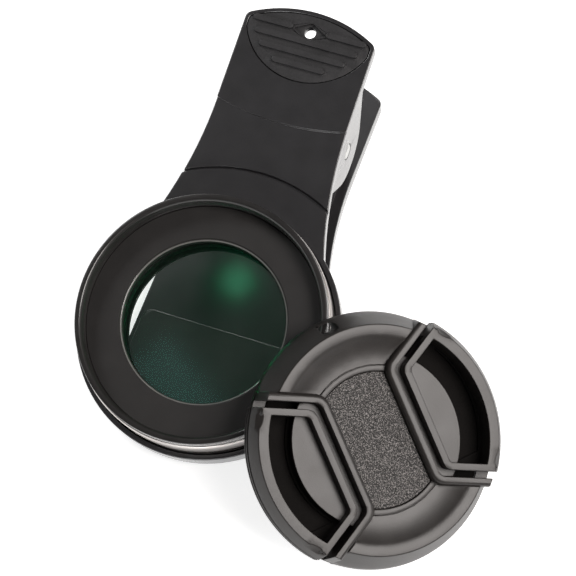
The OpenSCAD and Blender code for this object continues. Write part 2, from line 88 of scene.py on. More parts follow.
def place_at(origin, up, side):
    """A place whose Z runs along up and whose X lies as near to side as it can."""
    z = Vector(up).normalized()
    x = (Vector(side) - z * z.dot(Vector(side))).normalized()
    matrix = Matrix((x, z.cross(x), z)).transposed().to_4x4()
    matrix.translation = Vector(origin)
    return matrix


LENS = place_at(MOUNTS["filter_thread"]["pos_m"], MOUNTS["filter_thread"]["axis"], (1, 0, 0))
CAP = place_at(
    MOUNTS["cap_seat"]["pos_m"], -Vector(MOUNTS["cap_seat"]["axis"]), JOINTS["pinch_left"]["axis"]
)


def spread(node, place):
    """How far a node reaches in a place's axes, in mm: inner and outer radius, bottom and top."""
    inverse = place.inverted()
    points = [inverse @ v.co / MM for v in NODES[node].data.vertices]
    radii = [math.hypot(p.x, p.y) for p in points]
    heights = [p.z for p in points]
    return min(radii), max(radii), min(heights), max(heights)


# Radii and heights of the turned pieces, read from the frame.
RING_IN, RING_OUT, RING_LOW = spread("front_ring", LENS)[:3]
BARREL_IN, BARREL_OUT, BARREL_LOW, BARREL_TOP = spread("lens_barrel", LENS)
RETAINER_IN, RETAINER_OUT, RETAINER_LOW, RETAINER_TOP = spread("retaining_ring", LENS)
GLASS_OUT = spread("front_element", LENS)[1]

# The knurled band of the front ring, between the barrel and the rim's groove.
KNURL_LOW = BARREL_TOP + 0.3
KNURL_HIGH = -0.62

# Faces of a cap lever up to this height above its underside belong to its sliding web, which takes the darkened
# floor colour as painted shade.
WEB_BAND = 0.45
WEB_TOP = spread("cap_lever_left", CAP)[2] + WEB_BAND


class LensSizes(bpy.types.PropertyGroup):
    """Sizes of the turned pieces of the lens."""

    teeth: IntProperty(name="Knurl teeth", description="Teeth round the front ring", default=300)
    tooth_depth: FloatProperty(
        name="Tooth depth", description="Depth of the knurl", default=0.065 * MM, unit="LENGTH"
    )
    thread_pitch: FloatProperty(
        name="Thread pitch", description="Pitch of the filter thread", default=0.75 * MM, unit="LENGTH"
    )
    thread_depth: FloatProperty(
        name="Thread depth", description="Depth of the filter thread", default=0.32 * MM, unit="LENGTH"
    )
    edge: FloatProperty(
        name="Metal edge", description="Rounding of turned edges", default=0.08 * MM, unit="LENGTH"
    )
    steps: IntProperty(name="Steps", description="Flats round a turned piece", default=240)


class ClipSizes(bpy.types.PropertyGroup):
    """Sizes of the moulded pieces of the clip."""

    jaw_edge: FloatProperty(
        name="Jaw edge", description="Rounding of the jaw's rubber", default=0.2 * MM, unit="LENGTH"
    )
    edge: FloatProperty(
        name="Moulded edge", description="Rounding of the arms' edges", default=0.16 * MM, unit="LENGTH"
    )
    pad_edge: FloatProperty(
        name="Pad edge", description="Rounding of pads and bars", default=0.07 * MM, unit="LENGTH"
    )


class CapSizes(bpy.types.PropertyGroup):
    """Sizes of the cap's moulded pieces."""

    edge: FloatProperty(
        name="Cap edge", description="Rounding of the cap's edges", default=0.12 * MM, unit="LENGTH"
    )


class Finishes(bpy.types.PropertyGroup):
    """Colours of the finishes."""

    clip: FloatVectorProperty(
        name="Clip plastic", description="Satin black of the arms", subtype="COLOR", size=4,
        default=(0.0135, 0.0128, 0.0142, 1.0),
    )
    grip: FloatVectorProperty(
        name="Grip plastic", description="Mottled grey of the finger pads", subtype="COLOR", size=4,
        default=(0.017, 0.0163, 0.0175, 1.0),
    )
    rubber: FloatVectorProperty(
        name="Rubber", description="Jaw pads", subtype="COLOR", size=4,
        default=(0.015, 0.015, 0.015, 1.0),
    )
    anodised: FloatVectorProperty(
        name="Anodised metal", description="Rings of the lens", subtype="COLOR", size=4,
        default=(0.016, 0.0145, 0.014, 1.0),
    )
    barrel: FloatVectorProperty(
        name="Barrel metal", description="Bare bright metal of the barrel", subtype="COLOR", size=4,
        default=(0.55, 0.52, 0.5, 1.0),
    )
    # The bevel colour is a light grey painted on the thin bevel by the glass as a painted highlight line.
    bevel: FloatVectorProperty(
        name="Bevel metal", description="Bare metal of the thin bevel by the glass", subtype="COLOR",
        size=4, default=(0.16, 0.155, 0.15, 1.0),
    )
    steel: FloatVectorProperty(
        name="Steel", description="Pin and springs", subtype="COLOR", size=4,
        default=(0.55, 0.55, 0.54, 1.0),
    )
    coating: FloatVectorProperty(
        name="Lens coating", description="Colour that the coated glass reflects", subtype="COLOR",
        size=4, default=(0.07, 0.62, 0.3, 1.0),
    )
    cap: FloatVectorProperty(
        name="Cap plastic", description="Near black of the cap's plastic", subtype="COLOR", size=4,
        default=(0.026, 0.023, 0.0215, 1.0),
    )
    disc: FloatVectorProperty(
        name="Disc", description="Coarse dark grain of the centre disc", subtype="COLOR", size=4,
        default=(0.035, 0.033, 0.032, 1.0),
    )


class Studio(bpy.types.PropertyGroup):
    """The camera and the light."""

    azimuth: FloatProperty(
        name="Azimuth", description="Camera's turn round the object", default=math.radians(26.25),
        subtype="ANGLE",
    )
    elevation: FloatProperty(
        name="Elevation", description="Camera's height over the table", default=math.radians(63.28),
        subtype="ANGLE",
    )
    roll: FloatProperty(
        name="Roll", description="Camera's turn about its own axis", default=math.radians(-7.15),
        subtype="ANGLE",
    )
    distance: FloatProperty(
        name="Distance", description="Camera to target", default=0.35, unit="LENGTH"
    )
    focal: FloatProperty(name="Focal length", description="In mm on a 36 mm sensor", default=139.34)
    target: FloatVectorProperty(
        name="Target", description="Point in the middle of the picture", subtype="TRANSLATION", size=3,
        default=(0.00893, 0.01152, 0.00796),
    )
    key_power: FloatProperty(name="Key power", description="Power of the main lamp", default=1.2)
    front_power: FloatProperty(
        name="Front power", description="Power of the low front lamp", default=1.2
    )
    fill_power: FloatProperty(name="Softbox power", description="Power of the big softbox", default=5.4)
    jaw_power: FloatProperty(name="Jaw power", description="Power of the light on the jaw", default=1.8)
    glint_power: FloatProperty(
        name="Glint power", description="Power of the glass's own lamps", default=0.085
    )


GROUPS = {
    "lens_sizes": LensSizes,
    "clip_sizes": ClipSizes,
    "cap_sizes": CapSizes,
    "finishes": Finishes,
    "studio": Studio,
}


class Wire:
    """One socket of a node tree. Arithmetic on it adds Math nodes."""

    def __init__(self, tree, socket=None):
        self.tree = tree
        self.socket = socket

    def node(self, kind, settings=None, inputs=None, output=0):
        """Adds a node: its settings come first, then the values or links of its sockets."""
        made = self.tree.nodes.new(kind)
        for name, value in (settings or {}).items():
            setattr(made, name, value)
        for name, value in (inputs or {}).items():
            if isinstance(value, Wire):
                self.tree.links.new(value.socket, made.inputs[name])
            else:
                made.inputs[name].default_value = value
        return Wire(self.tree, made.outputs[output] if made.outputs else None)

    def maths(self, operation, first, second):
        """One Math node on two values or wires."""
        return self.node("ShaderNodeMath", {"operation": operation}, {0: first, 1: second})

    def __add__(self, other):
        return self.maths("ADD", self, other)

    def __radd__(self, other):
        return self.maths("ADD", other, self)

    def __sub__(self, other):
        return self.maths("SUBTRACT", self, other)

    def __rsub__(self, other):
        return self.maths("SUBTRACT", other, self)

    def __mul__(self, other):
        return self.maths("MULTIPLY", self, other)

    def __rmul__(self, other):
        return self.maths("MULTIPLY", other, self)

    def smooth_step(self, low, high):
        """0 below low, 1 above high and a smooth rise between them."""
        return self.node(
            "ShaderNodeMapRange", {"interpolation_type": "SMOOTHSTEP"},
            {0: self, 1: low, 2: high, 3: 0.0, 4: 1.0},
        )

    def grains(self, size, detail=2.0, roughness=0.5):
        """Noise whose blobs are about size wide, in metres; this wire holds the coordinates."""
        return self.node(
            "ShaderNodeTexNoise", None,
            {"Vector": self, "Scale": 1 / size, "Detail": detail, "Roughness": roughness},
        )

    def between(self, dark, light):
        """A colour between two, with this wire as the share of the second."""
        return self.node("ShaderNodeMix", {"data_type": "RGBA"}, {0: self, 6: dark, 7: light}, output=2)

    def bump(self, depth):
        """A normal bent by this wire as a height, where 1 stands for depth in metres."""
        return self.node("ShaderNodeBump", None, {"Height": self, "Distance": depth, "Strength": 1.0})


def shade(colour, factor):
    """A colour made lighter or darker by a factor."""
    return (colour[0] * factor, colour[1] * factor, colour[2] * factor, 1.0)


def new_material(name):
    """An empty material and the start of its node tree."""
    material = bpy.data.materials.new(name)
    material.use_nodes = True
    material.node_tree.nodes.clear()
    start = Wire(material.node_tree)
    return material, start


def close_material(start, surface):
    """Ends a material's tree with its surface."""
    start.node("ShaderNodeOutputMaterial", None, {"Surface": surface})


def object_spot(start):
    """The coordinates that keep a pattern fixed on the piece."""
    return start.node("ShaderNodeTexCoord", output="Object")


def ray_kinds(start):
    """Three wires that are 1 for a ray from the camera, off a gloss or through glass."""
    kinds = ("Is Camera Ray", "Is Glossy Ray", "Is Transmission Ray")
    return [start.node("ShaderNodeLightPath", output=kind) for kind in kinds]


def moulded(name, colour, gloss, grain, grain_depth, mottle=0.15, coat=0.0, specular=0.5):
    """Moulded plastic: a fine grain in the surface, soft mottling, and a roughness that wanders."""
    material, start = new_material(name)
    spot = object_spot(start)
    blotches = spot.grains(BLOTCH_SIZE, 3.0)
    fine = spot.grains(grain, 2.0, 0.6)
    tone = blotches * 0.5 + fine * 0.5
    base = tone.smooth_step(0.3, 0.7).between(shade(colour, 1 - mottle), shade(colour, 1 + mottle))
    skin = start.node("ShaderNodeBsdfPrincipled", None, {
        "Base Color": base,
        "Roughness": gloss + blotches * 0.08 + fine * 0.06,
        "Specular IOR Level": specular,
        "Coat Weight": coat,
        "Coat Roughness": 0.22,
        "Normal": fine.bump(grain_depth),
    })
    close_material(start, skin)
    return material


def grain_with_painted_glints(name, colour):
    """Coarse grain with painted light: its tips are painted paler as painted glints and its hollows darker as
    painted shade; the tips are also smoother.
    """
    material, start = new_material(name)
    spot = object_spot(start)
    coarse = spot.grains(DISC_GRAIN, 2.0, 0.6)
    fine = spot.grains(DISC_FINE_GRAIN, 1.0, 0.5)
    painted_glint_tips = (coarse * 0.5 + fine * 0.5).smooth_step(0.49, 0.6)
    # The base colour runs from painted shade in the hollows to painted glints on the tips, many times lighter than
    # the disc's own colour.
    base = painted_glint_tips.between(shade(colour, 0.45), shade(colour, 9.0))
    skin = start.node("ShaderNodeBsdfPrincipled", None, {
        "Base Color": base,
        "Roughness": 0.42 - painted_glint_tips * 0.16,
        "Normal": (coarse + fine * 0.7).bump(0.16 * MM),
    })
    close_material(start, skin)
    return material


def turned_metal(name, colour, gloss, coat=1.0, metallic=0.0, mottle=0.17):
    """Metal with the faint unevenness that turning and anodising leave."""
    material, start = new_material(name)
    spot = object_spot(start)
    cloud = spot.grains(CLOUD_SIZE, 3.0)
    fine = spot.grains(TURNING_GRAIN, 2.0)
    tone = (cloud * 0.6 + fine * 0.4).smooth_step(0.3, 0.7)
    base = tone.between(shade(colour, 1 - mottle), shade(colour, 1 + mottle))
    skin = start.node("ShaderNodeBsdfPrincipled", None, {
        "Base Color": base,
        "Roughness": gloss + cloud * (mottle * 0.5),
        "Metallic": metallic,
        "Coat Weight": coat,
        "Coat Roughness": 0.12,
        "Normal": fine.bump(0.006 * MM),
    })
    close_material(start, skin)
    return material


def steel(name, colour):
    """Drawn steel wire and pin."""
    material, start = new_material(name)
    spot = object_spot(start)
    streaks = spot.grains(STREAK_SIZE, 3.0)
    base = streaks.smooth_step(0.3, 0.7).between(shade(colour, 0.8), shade(colour, 1.1))
    skin = start.node("ShaderNodeBsdfPrincipled", None, {
        "Base Color": base,
        "Metallic": 1.0,
        "Roughness": 0.25 + streaks * 0.15,
    })
    close_material(start, skin)
    return material


def coated_glass(name, coating, gloss):
    """Clear glass that reflects in the colour of its coating."""
    material, start = new_material(name)
    spot = object_spot(start)
    haze = spot.grains(HAZE_SIZE, 2.0)
    clear = start.node("ShaderNodeBsdfTransparent", None, {"Color": GLASS_TINT})
    sheen = start.node("ShaderNodeBsdfGlossy", None, {"Color": coating, "Roughness": gloss})
    share = start.node("ShaderNodeFresnel", None, {"IOR": GLASS_IOR}) * (0.7 + haze * 0.5)
    glass = start.node("ShaderNodeMixShader", None, {0: share, 1: clear, 2: sheen})
    close_material(start, glass)
    return material


def only(piece):
    """Makes one object the only selected one, and the active one."""
    bpy.ops.object.select_all(action="DESELECT")
    piece.select_set(True)
    bpy.context.view_layer.objects.active = piece


def select_faces(piece, test):
    """Opens a piece for editing with the faces that pass a test selected."""
    only(piece)
    bpy.context.tool_settings.mesh_select_mode = (False, False, True)
    mesh = piece.data
    for vertex in mesh.vertices:
        vertex.select = False
    for edge in mesh.edges:
        edge.select = False
    for face in mesh.polygons:
        face.select = test(face)
    bpy.ops.object.mode_set(mode="EDIT")


def round_edges(piece, width, angle=32.0, segments=2):
    """Rounds the sharp edges and smooths the shading between them."""
    only(piece)
    bpy.ops.object.modifier_add(type="BEVEL")
    bevel = piece.modifiers[-1]
    bevel.width = width
    bevel.segments = segments
    bevel.limit_method = "ANGLE"
    bevel.angle_limit = math.radians(angle)
    bevel.use_clamp_overlap = False
    bpy.ops.object.modifier_apply(modifier=bevel.name)
    bpy.ops.object.shade_smooth_by_angle(angle=math.radians(angle + 8))
    bpy.ops.object.modifier_add(type="WEIGHTED_NORMAL")
    weigh = piece.modifiers[-1]
    weigh.keep_sharp = True
    bpy.ops.object.modifier_apply(modifier=weigh.name)


def merged_copy(node, name, gap, flat_angle=0.0):
    """A copy of a CAD node with its loose triangles merged, and flat stretches made whole faces."""
    piece = bpy.data.objects.new(name, NODES[node].data.copy())
    bpy.context.scene.collection.objects.link(piece)
    only(piece)
    bpy.ops.object.mode_set(mode="EDIT")
    bpy.ops.mesh.select_all(action="SELECT")
    bpy.ops.mesh.remove_doubles(threshold=gap)
    if flat_angle:
        bpy.ops.mesh.dissolve_limited(angle_limit=math.radians(flat_angle))
    bpy.ops.object.mode_set(mode="OBJECT")
    return piece


def dressed(node, name, width):
    """A copy of a CAD node with its edges rounded."""
    piece = merged_copy(node, name, MERGE_GAP, 0.6)
    bpy.ops.object.mode_set(mode="EDIT")
    bpy.ops.mesh.select_all(action="SELECT")
    bpy.ops.mesh.quads_convert_to_tris(quad_method="BEAUTY", ngon_method="BEAUTY")
    bpy.ops.object.mode_set(mode="OBJECT")
    round_edges(piece, width)
    return piece


def smooth_wire(node, name):
    """A copy of a spring's wire, shaded smooth."""
    piece = merged_copy(node, name, MERGE_GAP)
    bpy.ops.object.shade_smooth_by_angle(angle=math.radians(62))
    return piece


def smooth_glass(node, name):
    """A copy of a glass, shaded smooth."""
    piece = merged_copy(node, name, GLASS_MERGE_GAP, 0.05)
    bpy.ops.object.shade_smooth_by_angle(angle=math.radians(25))
    return piece


def turned(name, outline, place, steps, edge):
    """Turns a closed outline of (radius, height) pairs in mm, loop by loop, round a place's Z axis."""
    first_radius, first_height = outline[0]
    bpy.ops.object.select_all(action="DESELECT")
    bpy.ops.mesh.primitive_circle_add(vertices=steps, radius=first_radius * MM)
    piece = bpy.context.active_object
    piece.name = name
    piece.data.name = name
    bpy.ops.object.mode_set(mode="EDIT")
    bpy.context.tool_settings.mesh_select_mode = (True, False, False)
    bpy.ops.mesh.select_all(action="SELECT")
    bpy.ops.transform.translate(value=(0, 0, first_height * MM))
    radius, height = first_radius, first_height
    for next_radius, next_height in outline[1:]:
        rise = (next_height - height) * MM
        bpy.ops.mesh.extrude_edges_move(TRANSFORM_OT_translate={"value": (0, 0, rise)})
        scale = next_radius / radius
        bpy.ops.transform.resize(value=(scale, scale, 1), center_override=(0, 0, 0))
        radius, height = next_radius, next_height
    bpy.ops.mesh.select_all(action="DESELECT")
    bpy.ops.mesh.select_non_manifold()
    bpy.ops.mesh.bridge_edge_loops()
    bpy.ops.mesh.select_all(action="SELECT")
    bpy.ops.mesh.normals_make_consistent(inside=False)
    bpy.ops.object.mode_set(mode="OBJECT")
    if edge:
        round_edges(piece, edge)
    put(piece, place)
    return piece


def put(piece, place):
    """Moves a piece into a place and applies it, so that its object stays at the origin."""
    only(piece)
    piece.matrix_world = place
    bpy.ops.object.transform_apply(location=True, rotation=True, scale=True)


def finish_piece(piece, body, material, slot, *nodes):
    """Gives a piece its material and body, and hides the nodes that it stands for; the slot is not used; a piece
    that bends between two has no body.
    """
    piece.data.materials.clear()
    piece.data.materials.append(material)
    for face in piece.data.polygons:
        face.material_index = 0
    if body:
        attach(piece, body)
    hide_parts(*nodes)
    return piece


def light_group(name, piece):
    """Puts a piece in a group that a lamp lights or leaves out, and starts the group if need be."""
    group = bpy.data.collections.get(name) or bpy.data.collections.new(name)
    group.objects.link(piece)


class LensOperator(bpy.types.Operator):
    """What the operators share: their settings and their undo step."""

    bl_options = {"REGISTER", "UNDO"}

    def group(self, context, name):
        """The scene's property group of that name."""
        return getattr(context.scene, name)


class CLIPLENS_OT_arms(LensOperator):
    """Model the two arms of the clip with rounded edges"""

    bl_idname = "cliplens.arms"
    bl_label = "Arms"

    def execute(self, context):
        sizes = self.group(context, "clip_sizes")
        colour = tuple(self.group(context, "finishes").clip)
        plastic = moulded("satin_clip_plastic", colour, 0.36, 0.16 * MM, 0.012 * MM, coat=1.0)
        for node, name, body in (
            ("front_arm", "front_arm_moulding", "front"),
            ("rear_arm", "rear_arm_moulding", "rear"),
        ):
            piece = dressed(node, name, sizes.edge)
            finish_piece(piece, body, plastic, "clip_plastic", node)
            light_group(FRONT_LIT, piece)
            if body == "rear":
                light_group(REAR_LIT, piece)
        return {"FINISHED"}


class CLIPLENS_OT_finger_pads(LensOperator):
    """Model the finger pads with their raised bars"""

    bl_idname = "cliplens.finger_pads"
    bl_label = "Finger Pads"

    def execute(self, context):
        sizes = self.group(context, "clip_sizes")
        colour = tuple(self.group(context, "finishes").grip)
        plastic = moulded("mottled_grip_plastic", colour, 0.5, 0.3 * MM, 0.035 * MM, 0.3)
        for node, name, body in (
            ("front_grip_pad", "front_finger_pad", "front"),
            ("rear_grip_pad", "rear_finger_pad", "rear"),
        ):
            piece = dressed(node, name, sizes.pad_edge)
            finish_piece(piece, body, plastic, "grip_plastic", node)
            light_group(FRONT_LIT, piece)
        return {"FINISHED"}


class CLIPLENS_OT_jaw_pads(LensOperator):
    """Model the rubber pad of the rear jaw and the gasket under the ring"""

    bl_idname = "cliplens.jaw_pads"
    bl_label = "Jaw Pads"

    def execute(self, context):
        sizes = self.group(context, "clip_sizes")
        colour = tuple(self.group(context, "finishes").rubber)
        rubber = moulded("soft_black_rubber", colour, 0.4, 0.2 * MM, 0.02 * MM)
        for node, name, body in (
            ("rear_jaw_pad", "rear_jaw_rubber", "rear"),
            ("jaw_gasket", "ring_gasket", "front"),
        ):
            piece = dressed(node, name, sizes.jaw_edge)
            finish_piece(piece, body, rubber, "soft_rubber", node)
            if body == "rear":
                light_group(REAR_LIT, piece)
        return {"FINISHED"}


class CLIPLENS_OT_hinge(LensOperator):
    """Model the hinge pin, the torsion spring and the cap's springs"""

    bl_idname = "cliplens.hinge"
    bl_label = "Hinge and Springs"

    def execute(self, context):
        sizes = self.group(context, "clip_sizes")
        metal = steel("drawn_steel", tuple(self.group(context, "finishes").steel))
        pin_edge = sizes.pad_edge * 0.5
        pin = dressed("hinge_pin", "pin_of_hinge", pin_edge)
        finish_piece(pin, "rear", metal, "pin_steel", "hinge_pin")
        self.torsion_spring(metal)
        for node in ("cap_spring_upper", "cap_spring_lower"):
            for side in ("left", "right"):
                self.half_spring(node, side, metal)
        return {"FINISHED"}

    def torsion_spring(self, metal):
        """The torsion spring's wire, shaded smooth and left without a body; on the real clip it winds up with the
        jaw, its lower leg staying and its upper leg turning.
        """
        wire = smooth_wire("torsion_spring", "spring_of_hinge")
        finish_piece(wire, None, metal, "spring_steel", "torsion_spring")
        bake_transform(wire)

    def half_spring(self, node, side, metal):
        """Half of a cap spring, cut at its middle across the pinch axis and left without a body; on the real cap
        one lever shortens it when it is pinched.
        """
        wire = smooth_wire(node, f"{node}_{side}_half")
        inwards = Vector(JOINTS["pinch_" + side]["axis"])
        points = [vertex.co.copy() for vertex in wire.data.vertices]
        middle = sum(points, Vector()) / len(points)
        bpy.ops.object.mode_set(mode="EDIT")
        bpy.ops.mesh.select_all(action="SELECT")
        bpy.ops.mesh.bisect(plane_co=middle, plane_no=inwards, use_fill=True, clear_outer=True)
        bpy.ops.object.mode_set(mode="OBJECT")
        finish_piece(wire, None, metal, "spring_steel", node)
        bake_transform(wire)


class CLIPLENS_OT_barrel(LensOperator):
    """Turn the lens's rear end and its smooth barrel"""

    bl_idname = "cliplens.barrel"
    bl_label = "Barrel"

    def execute(self, context):
        sizes = self.group(context, "lens_sizes")
        colours = self.group(context, "finishes")
        black = turned_metal("black_rear_metal", tuple(colours.anodised), 0.35, 0.5)
        base = dressed("lens_base", "rear_end", sizes.edge)
        finish_piece(base, "front", black, "black_metal", "lens_base")
        silver = turned_metal("bare_barrel_metal", tuple(colours.barrel), 0.32, 0.0, 1.0, 0.03)
        chamfer = 0.2
        lip = BARREL_OUT - chamfer
        neck = GLASS_OUT + 4.0
        outline = [
            (BARREL_IN, BARREL_LOW), (lip, BARREL_LOW), (BARREL_OUT, BARREL_LOW + chamfer),
            (BARREL_OUT, BARREL_TOP - chamfer), (lip, BARREL_TOP), (neck, BARREL_TOP),
            (neck, RING_LOW), (BARREL_IN, RING_LOW),
        ]
        barrel = turned("smooth_barrel", outline, LENS, sizes.steps, sizes.edge)
        finish_piece(barrel, "front", silver, "barrel_metal", "lens_barrel")
        light_group(FRONT_LIT, barrel)
        return {"FINISHED"}


class CLIPLENS_OT_front_ring(LensOperator):
    """Turn the front ring, cut its filter thread and knurl its rim"""

    bl_idname = "cliplens.front_ring"
    bl_label = "Front Ring"

    def execute(self, context):
        sizes = self.group(context, "lens_sizes")
        colour = tuple(self.group(context, "finishes").anodised)
        metal = turned_metal("black_ring_metal", colour, 0.34)
        piece = turned("knurled_ring", self.outline(sizes), Matrix.Identity(4), sizes.teeth, 0)
        self.knurl(piece, sizes)
        round_edges(piece, 0.03 * MM, 25.0, 1)
        put(piece, LENS)
        finish_piece(piece, "front", metal, "black_metal", "front_ring")
        return {"FINISHED"}

    def outline(self, sizes):
        """The ring's section, from the outside of its skirt up over the rim and down the thread."""
        bore = RETAINER_OUT + 0.06
        wall = bore + 0.05
        skirt = bore + 0.6
        rim = RING_OUT
        groove = rim - 0.25
        band = rim - 0.02
        chamfer = 0.16
        thread_turns = 3
        thread_top = -0.5
        pitch = sizes.thread_pitch / MM
        depth = sizes.thread_depth / MM
        points = [
            (RING_IN, RING_LOW), (skirt, RING_LOW), (skirt, BARREL_TOP), (groove, BARREL_TOP),
            (groove, KNURL_LOW - 0.08), (band, KNURL_LOW), (band, KNURL_HIGH),
            (groove, KNURL_HIGH + 0.06), (groove, KNURL_HIGH + 0.14), (rim, KNURL_HIGH + 0.2),
            (rim, -chamfer), (rim - 0.05, -0.05), (rim - chamfer, 0.0), (bore + 0.5, 0.0),
            (bore + 0.42, -0.04), (wall, -0.42),
        ]
        for turn in range(thread_turns):
            top = thread_top - turn * pitch
            points += [
                (wall, top), (wall + depth, top - pitch * 0.4),
                (wall + depth, top - pitch * 0.5), (wall, top - pitch * 0.9),
            ]
        points += [(bore, RETAINER_TOP - 0.05), (bore, RETAINER_LOW), (RING_IN, RETAINER_LOW)]
        return points

    def knurl(self, piece, sizes):
        """Shapes one tooth on each flat of the knurled band, by two insets."""
        middle = (KNURL_LOW + KNURL_HIGH) / 2 * MM
        outside = (RING_OUT - 0.1) * MM
        land = 0.05 * MM
        flank = 0.06 * MM

        def on_band(face):
            out = math.hypot(face.center.x, face.center.y)
            return abs(face.center.z - middle) < 0.02 * MM and out > outside

        select_faces(piece, on_band)
        bpy.ops.mesh.inset(thickness=land, depth=0, use_individual=True)
        bpy.ops.mesh.inset(thickness=flank, depth=-sizes.tooth_depth, use_individual=True)
        bpy.ops.object.mode_set(mode="OBJECT")


class CLIPLENS_OT_glass(LensOperator):
    """Model the retaining ring and the glasses behind it"""

    bl_idname = "cliplens.glass"
    bl_label = "Glass"

    def execute(self, context):
        sizes = self.group(context, "lens_sizes")
        colours = self.group(context, "finishes")
        flat = moulded("flat_black_ring", tuple(colours.anodised), 0.5, 0.1 * MM, 0.01 * MM)
        highlight_bevel_metal = turned_metal("bevel_painted_highlight", tuple(colours.bevel), 0.35)
        self.flat_ring(sizes, flat, highlight_bevel_metal)
        spacer = dressed("spacer_ring", "glass_spacer", 0.05 * MM)
        finish_piece(spacer, "front", flat, "black_metal", "spacer_ring")
        glass = coated_glass("green_coated_glass", tuple(colours.coating), 0.17)
        for node, name in (("front_element", "front_glass"), ("rear_element", "rear_glass")):
            piece = smooth_glass(node, name)
            finish_piece(piece, "front", glass, "coated_glass", node)
            if node == "front_element":
                light_group(GLASS_LIT, piece)
        return {"FINISHED"}

    def flat_ring(self, sizes, flat, highlight_bevel_metal):
        """The flat ring round the glass, with a small step and a thin bevel at its inner edge, painted a lighter
        grey as a painted highlight.
        """
        step_depth = 0.16
        bevel_out = 0.3
        bevel_in = 0.12
        bevel_depth = 0.3
        wall_depth = 0.6
        slack = 0.02
        outline = [
            (RETAINER_IN, RETAINER_LOW), (RETAINER_OUT, RETAINER_LOW), (RETAINER_OUT, RETAINER_TOP),
            (RETAINER_IN + 0.52, RETAINER_TOP), (RETAINER_IN + 0.48, RETAINER_TOP - step_depth),
            (RETAINER_IN + bevel_out, RETAINER_TOP - step_depth),
            (RETAINER_IN + bevel_in, RETAINER_TOP - bevel_depth),
            (RETAINER_IN, RETAINER_TOP - wall_depth),
        ]
        ring = turned("flat_ring", outline, Matrix.Identity(4), sizes.steps, 0.02 * MM)
        ring.data.materials.append(flat)
        ring.data.materials.append(highlight_bevel_metal)
        # Faces of the bevel take the lighter grey of the painted highlight.
        for face in ring.data.polygons:
            out = math.hypot(face.center.x, face.center.y) / MM - RETAINER_IN
            deep = RETAINER_TOP - face.center.z / MM
            on_highlight_bevel = bevel_in - slack < out < bevel_out + slack and deep < bevel_depth + 0.05
            face.material_index = 1 if on_highlight_bevel and face.normal.z > 0.3 else 0
        put(ring, LENS)
        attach(ring, "front")
        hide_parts("retaining_ring")


class CLIPLENS_OT_cap(LensOperator):
    """Model the cap's body, centre disc, back plate and pinch levers"""

    bl_idname = "cliplens.cap"
    bl_label = "Cap"

    def execute(self, context):
        sizes = self.group(context, "cap_sizes")
        colours = self.group(context, "finishes")
        colour = tuple(colours.cap)
        # The pocket floors and the back plate take the cap plastic darkened to a third, as painted shade of the
        # deep pockets; their matt roughness is real.
        painted_shade_floor_colour = shade(colour, 0.3)
        plastic = moulded("speckled_cap_plastic", colour, 0.31, 0.18 * MM, 0.01 * MM, 0.2)
        dull_painted_shade = moulded("matt_cap_floor_painted_shade", painted_shade_floor_colour, 0.8, 0.3 * MM, 0.03 * MM, 0.2, specular=0.12)
        grain = grain_with_painted_glints("disc_with_painted_glints", tuple(colours.disc))
        for node, name, body, slot, finish in (
            ("cap_body", "cap_shell", "front", "cap_plastic", plastic),
            ("cap_centre_disc", "cap_disc", "front", "disc_plastic", grain),
            ("cap_back_plate", "cap_back", "front", "cap_plastic", dull_painted_shade),
            ("cap_lever_left", "left_pinch_lever", "lever_left", "cap_plastic", plastic),
            ("cap_lever_right", "right_pinch_lever", "lever_right", "cap_plastic", plastic),
        ):
            piece = dressed(node, name, sizes.edge)
            finish_piece(piece, body, finish, slot, node)
            light_group(KEY_UNLIT, piece)
            if node.startswith("cap_lever"):
                self.paint_web_shade(piece, dull_painted_shade)
        return {"FINISHED"}

    def paint_web_shade(self, piece, dull_painted_shade):
        """Gives the sliding web, deep in the finger pocket, its matt finish, with a colour darkened as painted
        shade of the deep pocket.
        """
        piece.data.materials.append(dull_painted_shade)
        inverse = CAP.inverted()
        for face in piece.data.polygons:
            if (inverse @ face.center).z < WEB_TOP * MM:
                face.material_index = 1


def aim_camera(studio):
    """The camera's place from its azimuth, elevation, roll and distance."""
    turn, height, roll = studio.azimuth, studio.elevation, studio.roll
    across = math.cos(height)
    back = Vector((math.sin(turn) * across, -math.cos(turn) * across, math.sin(height)))
    level = Vector((math.cos(turn), math.sin(turn), 0))
    upright = back.cross(level)
    right = level * math.cos(roll) + upright * math.sin(roll)
    up = upright * math.cos(roll) - level * math.sin(roll)
    matrix = Matrix((right, up, back)).transposed().to_4x4()
    matrix.translation = Vector(studio.target) + back * studio.distance
    return matrix


def area_lamp(name, spot, aim, width, power, colour=(1, 1, 1)):
    """A soft rectangular lamp at a spot that looks at a point."""
    bpy.ops.object.light_add(type="AREA", location=spot)
    lamp = bpy.context.active_object
    lamp.name = name
    lamp.data.shape = "RECTANGLE"
    lamp.data.size = width[0]
    lamp.data.size_y = width[1]
    lamp.data.energy = power
    lamp.data.color = colour
    lamp.rotation_mode = "QUATERNION"
    lamp.rotation_quaternion = (Vector(aim) - Vector(spot)).to_track_quat("-Z", "Y")
    return lamp


